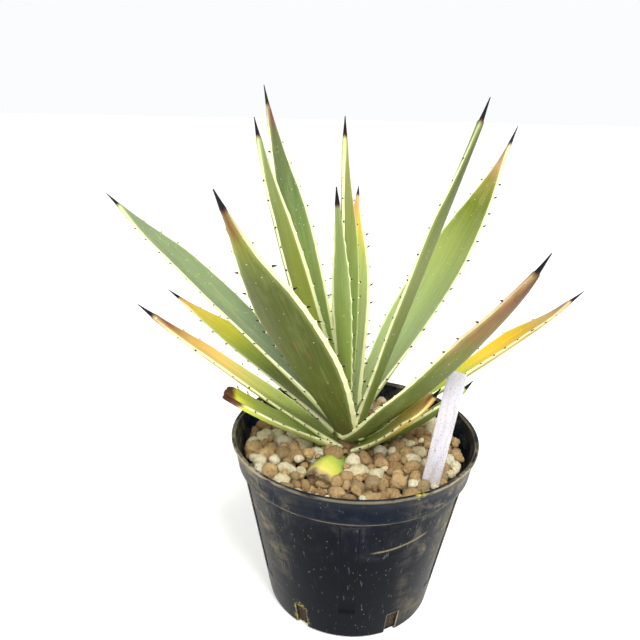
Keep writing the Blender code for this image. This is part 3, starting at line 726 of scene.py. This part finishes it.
def potFinish():
    # Blue-black moulded plastic. Dried dust lies on the band, the rim and the sides in upright smears,
    # and a grey-blue film on the upper wall is partly dust and partly a painted reflection of the bright
    # room.
    # The light line along the rim is partly painted highlight, the strip edges carry painted shade, a dark
    # patch low on the front is a painted reflection where the film and dust are left out, and moss grows at
    # the slots.
    finish = Finish("nursery_pot_plastic")
    where = finish.place()
    x, y, height = [finish.split(where, axis) * 1000 for axis in "XYZ"]
    clouds = finish.noise(where, 38, 4, 0.6, 0.8)
    upright = finish.noise(finish.stretched(where, (190, 190, 14)), 1.0, 5, 0.7)
    level = finish.noise(finish.stretched(where, (60, 60, 240)), 1.0, 4, 0.6, 0.5)
    fine = finish.noise(where, 1500, 3, 0.7)
    smear = finish.noise(finish.stretched(where, (26, 26, 34), shift=(0.3, 0.1, 0.2)), 1.0, 5, 0.68, 1.2)
    sides = finish.between(abs(x + 4), 22, 60)
    sides = sides.larger(finish.between(y, -20, 30) * 0.35)
    sides = sides * (1 - finish.between(y, -25, 20) * 0.6)
    onBand = finish.between(height, bandLow - 1, bandLow + 1)
    under = finish.between(height, bandLow - 34, bandLow - 8) * (1 - onBand)
    # painted reflection: a dark patch low in the middle of the front, where haze, film and dust are left out
    across = abs(x + 4 + (clouds - 0.5) * 8)
    darkReflection = finish.between(across, 33, 26) * finish.between(height + (smear - 0.5) * 10, 70, 62)
    darkReflection = darkReflection * finish.between(y, 0, -20)
    colour = finish.mix(clouds, "#02040b", "#060b16")
    colour = finish.mix(onBand * 0.6, colour, "#0b1624")
    haze = finish.between(upright, 0.36, 0.72) * finish.between(smear, 0.30, 0.62) * (1 - darkReflection * 0.92)
    colour = finish.mix(haze * (0.05 + sides * 0.30 + under * 0.05), colour, "#5d5f60")
    # grey-blue film: partly dust, partly a painted reflection of the bright room on the upper wall
    filmAndReflection = finish.between(smear, 0.34, 0.66) * (1 - darkReflection) * (0.04 + under * 0.18 + sides * 0.14)
    colour = finish.mix(filmAndReflection, colour, "#2b3746")
    dustAndRimHighlight = finish.between(smear, 0.42, 0.68) * finish.between(upright * 0.5 + level * 0.5, 0.40, 0.54)
    dustAndRimHighlight = dustAndRimHighlight * (0.05 + sides * 0.62 + onBand * sides * 0.33 + under * 0.06) * (1 - darkReflection)
    # the light line along the rim: partly dust, partly painted highlight, stronger at the left and right
    rimLine = finish.between(height, potTop - 2.2, potTop - 1.2)
    rimLine = rimLine * finish.between(height, potTop, potTop - 0.6)
    dustAndRimHighlight = dustAndRimHighlight + rimLine * finish.between(level, 0.30, 0.55) * (0.45 + sides * 0.5)
    ledge = finish.between(height, bandLow - 0.4, bandLow + 0.3)
    ledge = ledge * finish.between(height, bandLow + 1.4, bandLow + 0.5)
    dustAndRimHighlight = dustAndRimHighlight + ledge * finish.between(clouds, 0.30, 0.60) * 0.5
    colour = finish.mix(dustAndRimHighlight, colour, finish.mix(clouds, "#a39a82", "#857a60"))
    dots = finish.cells(finish.stretched(where, (300, 300, 300)), 1.0)
    dotsOn = finish.between(finish.noise(where, 60, 2), 0.5, 0.6)
    colour = finish.mix(finish.between(dots, 0.16, 0.08) * dotsOn * 0.3, colour, "#a39878")
    scuffs = finish.noise(finish.stretched(where, (700, 700, 26), (0, 0.12, 0)), 1.0, 2, 0.5)
    colour = finish.mix(finish.between(scuffs, 0.66, 0.72) * 0.22, colour, "#7b8088")
    # one long curved scratch below the band, right of the front strip
    bow = height - x * x * 0.004 - 71.5 + (fine - 0.5) * 1.5
    bow = finish.between(abs(bow), 1.0, 0.2)
    bow = bow * finish.between(x, 8, 14) * finish.between(x, 42, 38) * finish.between(y, -20, -40)
    colour = finish.mix(bow * 0.6, colour, "#8f8468")
    # painted shade: the pressed strip edges darkened near black
    colour = finish.mix(finish.between(finish.mark("line"), 0.25, 0.8) * 0.85, colour, "#040609")
    worn = finish.between(finish.mark("slotEdge"), 0.15, 0.9)
    worn = worn * finish.between(clouds * 0.5 + fine * 0.5, 0.34, 0.5)
    colour = finish.mix(worn * 0.7, colour, "#a89e82")
    # moss by the slots and on the rim
    moss = finish.noise(where, 420, 4, 0.7)
    for spot, size in pot["moss"]:
        away = finish.node("VectorMath", {"operation": "DISTANCE"},
                           {0: where, 1: [c * mm for c in spot]}, "Value")
        near = finish.between(away * 1000 + (clouds - 0.5) * 8, size, size * 0.3)
        colour = finish.mix(near * finish.between(moss, 0.48, 0.6) * 0.9, colour,
                            finish.mix(fine, "#8f8a24", "#c9bd3c"))
    finish.drive(Base_Color=colour, Roughness=0.27 + dustAndRimHighlight * 0.5 + haze * 0.22 + filmAndReflection * 0.3 + fine * 0.06,
                 Specular_IOR_Level=0.05)
    finish.bump(level * 0.4 + fine * 0.2 + dustAndRimHighlight * 0.8 + clouds * 1.5, 0.25, 0.3)
    return finish


pieceFrom("nursery_pot_shell", [potShape()], potFinish(), ["nursery_pot"])
print("pot turned")

# ---------- plant label

label = {
    "width": 10, "thickness": 1.0, "shown": 70, "buried": 22, "wallGap": 7.5,
    "azimuth": -47, "face": -18, "lean": 13, "leanAzimuth": 40,
    "bow": 0.8,                # how far the stake bends back at its top
    "corner": 1.6, "footTaper": 9, "aroundSteps": 28,
}


def labelStand():
    # where the stake passes through the top of the mix
    inside = insideTop - pot["mixGap"]
    return headings(label["azimuth"], 0.0) * (inside - label["wallGap"]) + (0, 0, mixTop)


def labelShape():
    # A rounded-oblong section carried up the stake; its width narrows to the foot as a straight taper
    # and rounds off at the top corners with a quarter circle.
    bevel, shown = label["corner"], label["shown"]
    up = headings(label["leanAzimuth"], 90.0 - label["lean"])
    wide = headings(label["face"], 0.0)
    wide = wide - up * (wide @ up)
    wide /= np.linalg.norm(wide)
    deep = np.cross(up, wide)
    run = np.concatenate([np.linspace(-label["buried"], shown - bevel, 60),
                          shown - bevel + bevel * np.sin(np.linspace(0, np.pi / 2, 8))[1:]])
    foot = np.clip((run + label["buried"]) / label["footTaper"], 0, 1)
    past = np.clip((run - shown + bevel) / bevel, 0, 1)
    corner = bevel * (1 - np.sqrt(np.clip(1 - past ** 2, 0, 1)))
    half = label["width"] / 2 * (0.25 + 0.75 * foot) - corner
    turn = circle(label["aroundSteps"])
    x = np.sign(np.cos(turn)) * np.abs(np.cos(turn)) ** 0.25
    y = np.sign(np.sin(turn)) * np.abs(np.sin(turn)) ** 0.55
    bend = label["bow"] * np.clip(run / shown, 0, 1) ** 2
    rings = (labelStand() + up * run[:, None])[:, None] + wide * (half[:, None, None] * x[None, :, None])
    rings = rings + deep * (label["thickness"] / 2 * y[None, :, None] - bend[:, None, None])
    along = np.broadcast_to(run[:, None], (len(run), len(turn)))
    grain = np.stack([half[:, None] * x, along, 0 * along + np.sign(y)], axis=-1)
    return tubes(rings[None], along=along[None], grain=grain[None])


def labelFinish():
    finish = Finish("white_label_plastic")
    along, grain = finish.mark("along"), finish.mark("grain", "Vector")
    clouds = finish.noise(grain, 0.12, 4, 0.6)
    fine = finish.noise(grain, 1.2, 4, 0.7)
    rub = finish.noise(finish.stretched(grain, (0.5, 0.06, 1)), 1.0, 4, 0.6, 0.5)
    colour = finish.mix(clouds, "#cbc9cf", "#b8b5c2")
    soil = finish.between(along, 66, 2) * 0.55 + 0.26
    colour = finish.mix(finish.between(rub, 0.44, 0.72) * soil, colour, "#a8977c")
    dots = finish.cells(grain, 1.15)
    rare = finish.split(finish.cells(grain, 1.15, "Color"), "X")
    spots = finish.between(rare + finish.between(along, 60, 0) * 0.12, 0.62, 0.68)
    spots = finish.between(dots, 0.30, 0.16) * spots
    colour = finish.mix(spots * 0.85, colour, "#5b452c")
    crumbs = finish.between(finish.noise(grain, 0.55, 3, 0.6), 0.62, 0.70) * finish.between(along, 64, 30)
    colour = finish.mix(crumbs * 0.6, colour, "#7a6244")
    green = finish.between(along, 20, 6) * finish.between(clouds * 0.4 + fine * 0.6, 0.50, 0.60)
    green = green * finish.between(finish.split(grain, "X"), 2.5, -3.5)
    colour = finish.mix(green * 0.85, colour, "#6f6a1e")
    foot = finish.between(along, 9, 3) * finish.between(fine, 0.3, 0.6)
    colour = finish.mix(foot * 0.55, colour, "#9a8a6c")
    finish.drive(Base_Color=colour, Roughness=0.38 + soil * 0.4 + spots * 0.2)
    finish.bump(fine * 0.5 + rub * 0.5 + spots, 0.2, 0.25)
    return finish


pieceFrom("plant_label_stake", [labelShape()], labelFinish(), ["plant_label"])
print("label made")

# ---------- potting mix and loose stones

stones = {
    "seed": 21,
    "size": (5.0, 13.0),       # shortest and longest stone, across
    "top": 104.8,              # mean height of the tops
    "tries": 9000,
    "creamShare": 0.36,
    "planes": 8,
    "reach": (0.52, 0.95),     # how far the planes lie from a stone's middle
    "sharpness": 34,           # power of the soft minimum: higher gives sharper edges
    "fill": 0.60,              # half width of a stone, as a share of its size
    "stemRoom": 8,
    "lowerStep": 6.6, "lowerShift": 1.6, "lowerSize": (6.5, 9.5), "lowerStemRoom": 10,
    "clearing": (14, 4.5),     # round the stump's torn end: its radius, and how much lower stones lie there
    "resting": [(-12.5, -20.5, 106.5, 10), (-26, -22, 106.5, 8.5)],    # on the stump's base: place and size
}


def stoneSpots(random):
    # Stones from large to small are tried at random spots inside the wall; one stays where it clears
    # the others, the stem and every leaf. A lower layer on a jittered grid fills the gaps.
    leafPoints = np.concatenate(allLeafPoints)
    leafPoints = leafPoints[leafPoints[:, 2] < potTop + 6]
    steps = np.linspace(-4, 16, 12)[:, None]
    stake = labelStand() + headings(label["leanAzimuth"], 90.0 - label["lean"]) * steps
    stake = np.concatenate([stake + headings(label["face"], 0.0) * s for s in (-4, -2, 0, 2, 4)])
    solid = np.concatenate([leafPoints, stake])
    shortest, longest = stones["size"]
    sizes = np.sort(shortest + (longest - shortest) * random.beta(1.8, 2.3, stones["tries"]))[::-1]
    clearRadius, clearDrop = stones["clearing"]
    stumpEnd = leafPath(stump, np.array([1.0]))[0][0]
    clearMiddle = stumpEnd[:2] + headings(stump["azimuth"], 0.0)[:2] * 4
    kept = np.array(stones["resting"], float)
    for wave, (share, squeeze, drop) in enumerate(((1.0, 0.80, 0.0), (0.68, 0.76, 1.2))):
        for size in sizes[::1 if wave else 3]:
            size = size * share
            around, out = random.uniform(0, 2 * np.pi), insideTop - size * 0.47
            out = out * math.sqrt(random.uniform(0, 1))
            high = stones["top"] + random.normal(0, 0.9) - drop - size * 0.36
            spot = np.array([out * math.cos(around), out * math.sin(around), high])
            near = math.dist(spot[:2], clearMiddle) / clearRadius
            if near < 1:
                if size > 9:
                    continue
                spot[2] -= clearDrop * min(1, 2 * (1 - near))
            if math.dist(spot[:2], rosette["stem"]) < stones["stemRoom"] + size * 0.4:
                continue
            if (np.hypot(*(kept[:, :2] - spot[:2]).T) < (kept[:, 3] + size) / 2 * squeeze).any():
                continue
            if (np.linalg.norm(solid - spot, axis=1) < size * 0.42).any():
                continue
            kept = np.concatenate([kept, [[*spot, size]]])
    grid, shift = np.arange(-70, 71, stones["lowerStep"]), stones["lowerShift"]
    gridX, gridY = np.meshgrid(grid, grid)
    lower = np.stack([gridX.ravel(), gridY.ravel()], axis=-1)
    lower = lower + random.uniform(-shift, shift, lower.shape)
    size = random.uniform(*stones["lowerSize"], len(lower))
    inside = np.hypot(*lower.T) < insideTop - size * 0.5
    inside &= np.hypot(*(lower - rosette["stem"]).T) > stones["lowerStemRoom"]
    cleared = np.linalg.norm(lower - clearMiddle, axis=1) < clearRadius * 0.8
    high = mixTop - 1.0 + random.uniform(-0.8, 0.8, len(lower)) - 2.5 * cleared
    return kept, np.column_stack([lower, high, size])[inside]


def stoneShapes(spots, fineness, random):
    # A stone is a ball pressed against flat planes: its radius in a direction is a soft minimum of the
    # distances to them. It is then squashed, turned at random and put in its place.
    ball = bmesh.new()
    bmesh.ops.create_icosphere(ball, subdivisions=fineness, radius=1.0)
    around = np.array([v.co for v in ball.verts])
    tris = np.array([[v.index for v in f.verts] for f in ball.faces])
    ball.free()
    count, k, power = len(spots), stones["planes"], stones["sharpness"]
    planes = random.normal(size=(count, k, 3))
    planes /= np.linalg.norm(planes, axis=-1, keepdims=True)
    reach = random.uniform(*stones["reach"], (count, k))
    pressed = np.clip(np.einsum("ckx,vx->cvk", planes, around) / reach[:, None], 0.001, None)
    radius = ((pressed ** power).sum(axis=-1) + 0.4) ** (-1 / power)
    first, second, third = np.moveaxis(np.einsum("ckx,vx->cvk", planes[:, :3], around), -1, 0)
    radius *= 1 + 0.035 * np.sin(6 * first + 4 * second) + 0.025 * np.sin(11 * third + 2)
    squash = [np.ones(count), random.uniform(0.72, 1, count), random.uniform(0.62, 0.9, count)]
    squash = np.stack(squash, axis=-1)
    shape = around[None] * radius[..., None] * squash[:, None]
    tumbled, _ = np.linalg.qr(random.normal(size=(count, 3, 3)))
    tumbled *= np.sign(np.linalg.det(tumbled))[:, None, None]
    spin = random.uniform(0, 2 * np.pi, count)
    c, s, zero, one = np.cos(spin), np.sin(spin), np.zeros(count), np.ones(count)
    lying = np.stack([c, -s, zero, s, c, zero, zero, zero, one], axis=-1).reshape(-1, 3, 3)
    turns = np.where((random.uniform(0, 1, count) < 0.4)[:, None, None], tumbled, lying)
    points = np.einsum("cij,cvj->cvi", turns, shape) * spots[:, 3][:, None, None] * stones["fill"]
    points = points + spots[:, None, :3]
    shift = (np.arange(count) * len(around))[:, None, None]
    tone = np.broadcast_to(random.uniform(0, 1, count)[:, None], (count, len(around)))
    return {"points": points.reshape(-1, 3), "quads": np.zeros((0, 4), int),
            "tris": (tris[None] + shift).reshape(-1, 3), "marks": {"tone": tone.reshape(-1)}}


def stoneFinish(name, pale, dark, odd, crust, pores):
    # two tones mixed stone by stone, a few odd ones, crusty blotches, pores and lighter worn grains
    finish = Finish(name)
    where, tone = finish.place(), finish.mark("tone")
    clouds = finish.noise(where, 210, 4, 0.65)
    lumps = finish.noise(where, 480, 3, 0.6)
    fine = finish.noise(where, 1300, 4, 0.75)
    holes = finish.cells(where, 1100)
    colour = finish.mix(tone, pale, dark)
    colour = finish.mix(finish.between(tone, 0.88, 0.92) * 0.8, colour, odd)
    colour = finish.mix(finish.between(clouds, 0.42, 0.68) * 0.45, colour, dark)
    colour = finish.mix(finish.between(lumps, 0.54, 0.66) * 0.35, colour, crust)
    colour = finish.mix(finish.between(fine, 0.54, 0.72) * 0.35, colour, crust)
    colour = finish.mix(finish.between(fine, 0.46, 0.3) * 0.30, colour, "#f4ecd6")
    finish.drive(Base_Color=colour, Roughness=0.95)
    finish.bump(lumps * 1.6 + fine * 1.2 + clouds + finish.between(holes, 0.0, 0.4) * pores, 1.0, 1.5)
    return finish


def mixBed():
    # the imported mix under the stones: a disc of rings whose top is roughened by sines, closed below
    gap, rings, m = pot["mixGap"], 46, 180
    low, high = pot["floor"] + gap, mixTop - 5.5
    lowOut, highOut = [potWallAt(height) - pot["wall"] - gap for height in (low, high)]
    turn = circle(m)
    radii = np.concatenate([[0.6, lowOut, highOut], np.linspace(highOut - gap, 0.6, rings)])
    heights = np.concatenate([[low, low, high], np.full(rings, high)])
    x, y = radii[:, None] * np.cos(turn), radii[:, None] * np.sin(turn)
    rough = np.sin(x * 0.9 + 1.3 * np.sin(y * 0.7)) + np.sin(y * 1.1 + 1.7 * np.sin(x * 0.6 + 2))
    z = heights[:, None] + rough * (np.arange(len(radii)) > 2)[:, None] * 0.7
    return tubes(np.stack([x, y, z], axis=-1)[None])


random = np.random.default_rng(stones["seed"])
topSpots, lowSpots = stoneSpots(random)
creamFinish = stoneFinish("pumice_cream", "#fffbe0", "#f3e4b4", "#cfc49a", "#b8a26c", 1.2)
ochreFinish = stoneFinish("baked_clay_ochre", "#dfbd84", "#9c7a4c", "#b09c70", "#6a4a2a", 0.8)
granules = sorted(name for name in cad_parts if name.startswith("granule_"))
creamNodes = [name for name in granules if int(name[-2:]) % 3 == 0]
ochreNodes = [name for name in granules if name not in creamNodes]
topPale = random.uniform(0, 1, len(topSpots)) < stones["creamShare"]
topPale[:len(stones["resting"])] = False
lowPale = random.uniform(0, 1, len(lowSpots)) < stones["creamShare"] * 0.5
for name, topKept, lowKept, finish, slot, nodes in (
        ("loose_stones_cream", topPale, lowPale, creamFinish, "cream_stone", creamNodes),
        ("loose_stones_ochre", ~topPale, ~lowPale, ochreFinish, "ochre_stone", ochreNodes)):
    shapes = [stoneShapes(topSpots[topKept], 2, random), stoneShapes(lowSpots[lowKept], 1, random)]
    pieceFrom(name, shapes, finish, nodes)
bedFinish = stoneFinish("packed_mix", "#5a4026", "#3a2818", "#2c2016", "#241a10", 1.0)
bedParts = mixBed()
bedParts["marks"]["tone"] = np.full(len(bedParts["points"]), 0.5)
pieceFrom("packed_mix_bed", [bedParts], bedFinish, ["potting_mix"])
print(f"{len(topSpots)} upper and {len(lowSpots)} lower stones laid")

# ---------- stem and roots keep their own node


def stemFinish():
    finish = Finish("fibrous_stem")
    where = finish.place()
    fibres = finish.noise(finish.stretched(where, (900, 900, 60)), 1.0, 4, 0.6)
    clouds = finish.noise(where, 180, 3, 0.6)
    colour = finish.mix(fibres, "#5b4026", "#a08356")
    colour = finish.mix(finish.between(clouds, 0.45, 0.7) * 0.6, colour, "#3a281a")
    finish.drive(Base_Color=colour, Roughness=0.85)
    finish.bump(fibres, 0.6, 0.5)
    return finish


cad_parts["stem_and_roots"].data.materials.clear()
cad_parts["stem_and_roots"].data.materials.append(stemFinish().material)

# ---------- floor, light and camera

studio = {
    "floorTone": "#eae9e6", "floorGlow": 0.24, "floorRadius": 60, "floorSides": 96,
    "sky": [(0.20, "#fbfcfd"), (0.65, "#8f949a")],    # from the horizon up
    "aim": (0, 0, 0.12),       # what the lamps point at, in metres
    "sun": {"power": 2.5, "spread": 16, "turn": (30, 16, 0), "colour": (1.0, 0.985, 0.955)},
    "lamps": [  # place in metres, size in metres, power in watts, colour
        ((0.45, -0.15, 1.1), 0.7, 4, (1.0, 0.98, 0.95)),
        ((-0.3, 0.9, 0.9), 0.8, 3, (1.0, 1.0, 1.0)),
        ((-0.2, -0.85, 0.8), 0.6, 7, (1.0, 0.98, 0.95)),
    ],
    "cameraPlace": (-12.06, -330.02, 293.5), "turn": 1.83, "tilt": 71.26, "roll": 1.245, "lens": 33.75,
}


def stageFloor():
    # a wide round sheet at the height of the pot's underside
    turn = circle(studio["floorSides"])
    wide, drop = studio["floorRadius"], -0.0001
    rim = np.stack([wide * np.cos(turn), wide * np.sin(turn), 0 * turn + drop], axis=-1)
    mesh = bpy.data.meshes.new("studio_floor")
    mesh.from_pydata(rim, [], [list(range(len(rim)))])
    finish = Finish("pale_floor")
    grainy = finish.noise(finish.place(), 6, 3, 0.5)
    finish.drive(Base_Color=finish.mix(grainy * 0.1, studio["floorTone"], "#e9e7e2"), Roughness=0.9,
                 Specular_IOR_Level=0.1, Emission_Color=(1, 1, 1, 1), Emission_Strength=studio["floorGlow"])
    mesh.materials.append(finish.material)
    made = added("studio_floor", mesh)


def stageLights():
    # a sky that is pale at the horizon and dimmer above, one broad sun and the small soft lamps
    world = bpy.data.worlds.new("pale_room")
    world.use_nodes = True
    tree = world.node_tree
    where = tree.nodes.new("ShaderNodeTexCoord")
    parts = tree.nodes.new("ShaderNodeSeparateXYZ")
    ramp = tree.nodes.new("ShaderNodeValToRGB")
    for stop, (place, colour) in zip(ramp.color_ramp.elements, studio["sky"]):
        stop.position, stop.color = place, tint(colour)
    tree.links.new(where.outputs["Generated"], parts.inputs["Vector"])
    tree.links.new(parts.outputs["Z"], ramp.inputs["Fac"])
    tree.links.new(ramp.outputs["Color"], tree.nodes["Background"].inputs["Color"])
    bpy.context.scene.world = world
    sun = bpy.data.lights.new("broad_sun", "SUN")
    sun.energy, sun.angle = studio["sun"]["power"], math.radians(studio["sun"]["spread"])
    sun.color = studio["sun"]["colour"]
    added(sun.name, sun).rotation_euler = [math.radians(a) for a in studio["sun"]["turn"]]
    for number, (place, size, power, colour) in enumerate(studio["lamps"]):
        lamp = bpy.data.lights.new(f"soft_lamp_{number + 1}", "AREA")
        lamp.shape, lamp.size, lamp.energy, lamp.color = "DISK", size, power, colour
        made, aim = added(lamp.name, lamp), Vector(place) - Vector(studio["aim"])
        made.location, made.rotation_euler = place, aim.to_track_quat("Z", "Y").to_euler()
    bpy.context.scene.view_settings.view_transform = "Standard"


def stageCamera():
    lens = bpy.data.cameras.new("front_camera")
    lens.lens, lens.sensor_width = studio["lens"], 36
    made = added("front_camera", lens)
    turned = Matrix.Identity(4)
    for angle, axis in (("turn", "Z"), ("tilt", "X"), ("roll", "Z")):
        turned = turned @ Matrix.Rotation(math.radians(studio[angle]), 4, axis)
    made.matrix_world = Matrix.Translation([c * mm for c in studio["cameraPlace"]]) @ turned
    bpy.context.scene.camera = made


stageFloor()
stageLights()
stageCamera()
print("stage set")

bpy.context.view_layer.update()
